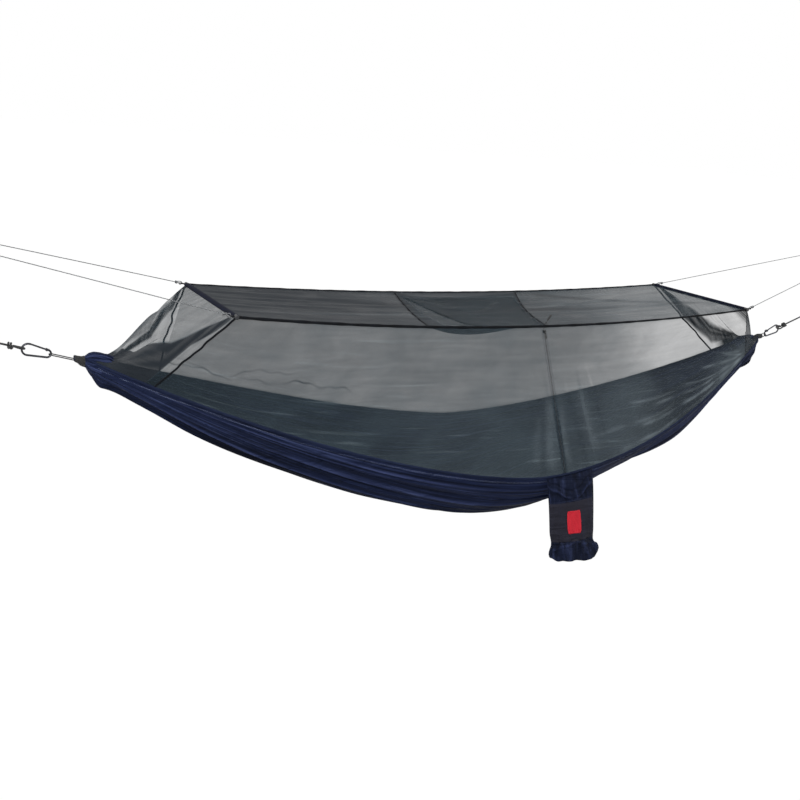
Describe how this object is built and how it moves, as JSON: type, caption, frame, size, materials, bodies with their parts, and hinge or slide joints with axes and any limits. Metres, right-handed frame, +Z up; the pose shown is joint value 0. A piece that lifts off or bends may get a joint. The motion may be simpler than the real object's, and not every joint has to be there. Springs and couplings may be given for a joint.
{
  "type": "hammock tent",
  "caption": "Camping hammock with a sewn-on insect net on spreader bars, side zip, gear loft, snap hooks and ropes, guy lines and a hanging stuff sack.",
  "frame": {"origin": "where the end eye of the left rope bears on its anchor", "axes": "+X from the left anchor to the right one, -Y towards the zip and the stuff sack, +Z up"},
  "size_m": [3.4156, 1.0424, 0.9364],
  "materials": {
    "navy_nylon": "woven nylon, dull",
    "net_mesh": "fine insect mesh, see-through",
    "net_binding": "woven tape",
    "black_cord": "braided cord",
    "guy_cord": "thin braided cord",
    "black_steel": "dark coated steel",
    "aluminium": "drawn tube",
    "black_plastic": "moulded plastic",
    "red_patch": "plain woven patch"
  },
  "bodies": {
    "ropes": {"left_rope": "black_cord", "right_rope": "black_cord"},
    "hammock": {"far_rim_binding": "navy_nylon", "far_top_binding": "net_binding", "gear_loft": "net_mesh", "hammock_bed": "navy_nylon", "left_bar_ferrule": "aluminium", "left_bar_tunnel": "net_binding", "left_far_bar": "aluminium", "left_far_bar_cap": "black_plastic", "left_far_corner_tape": "net_binding", "left_far_guy": "guy_cord", "left_far_guy_ring": "net_binding", "left_knot": "black_cord", "left_loop": "black_cord", "left_near_bar": "aluminium", "left_near_bar_cap": "black_plastic", "left_near_corner_tape": "net_binding", "left_near_guy": "guy_cord", "left_near_guy_ring": "net_binding", "left_snap_hook": "black_steel", "near_rim_binding": "navy_nylon", "near_top_binding": "net_binding", "net_far": "net_mesh", "net_left_end": "net_mesh", "net_near_left": "net_mesh", "net_near_right": "net_mesh", "net_right_end": "net_mesh", "net_top": "net_mesh", "right_bar_ferrule": "aluminium", "right_bar_tunnel": "net_binding", "right_far_bar": "aluminium", "right_far_bar_cap": "black_plastic", "right_far_corner_tape": "net_binding", "right_far_guy": "guy_cord", "right_far_guy_ring": "net_binding", "right_knot": "black_cord", "right_loop": "black_cord", "right_near_bar": "aluminium", "right_near_bar_cap": "black_plastic", "right_near_corner_tape": "net_binding", "right_near_guy": "guy_cord", "right_near_guy_ring": "net_binding", "right_snap_hook": "black_steel", "tieback_staple": "black_cord", "zip_tape_left": "net_binding", "zip_tape_right": "net_binding"},
    "left_gate": {"left_gate": "black_steel"},
    "right_gate": {"right_gate": "black_steel"},
    "zip_slider": {"zip_slider": "black_plastic"},
    "zip_pull": {"zip_pull": "black_cord"},
    "tieback_toggle": {"tieback_toggle": "black_cord"},
    "stuff_sack": {"stuff_sack": "navy_nylon", "sack_patch": "red_patch"}
  },
  "joints": [
    {"name": "hammock_swing", "type": "hinge", "parent": "ropes", "child": "hammock", "pos_m": [0.14979, 0, -0.03986], "axis": [1, 0, 0], "range_deg": [-15, 15], "stiffness_Nm_per_rad": 60},
    {"name": "left_gate_hinge", "type": "hinge", "parent": "hammock", "child": "left_gate", "pos_m": [0.21543, 0, -0.04594], "axis": [0, -1, 0], "range_deg": [0, 25], "stiffness_Nm_per_rad": 0.2, "springref_deg": -28.65},
    {"name": "right_gate_hinge", "type": "hinge", "parent": "hammock", "child": "right_gate", "pos_m": [3.08539, 0, -0.05186], "axis": [0, 1, 0], "range_deg": [0, 25], "stiffness_Nm_per_rad": 0.2, "springref_deg": -28.65},
    {"name": "zip_slide", "type": "slide", "parent": "hammock", "child": "zip_slider", "axis": [-0.0735, -0.525, -0.8479], "range_m": [0, 0.44]},
    {"name": "zip_pull_hinge", "type": "hinge", "parent": "zip_slider", "child": "zip_pull", "pos_m": [1.73868, -0.27138, 0.03686], "axis": [-0.9973, 0.0387, 0.0625], "range_deg": [0, 150]},
    {"name": "toggle_hinge", "type": "hinge", "parent": "hammock", "child": "tieback_toggle", "pos_m": [1.75, -0.257, 0.06043], "axis": [1, 0, 0], "range_deg": [-45, 100]},
    {"name": "sack_hinge", "type": "hinge", "parent": "hammock", "child": "stuff_sack", "pos_m": [1.72224, -0.51962, -0.37538], "axis": [-0.9936, -0.0635, -0.0931], "range_deg": [0, 90]}
  ]
}
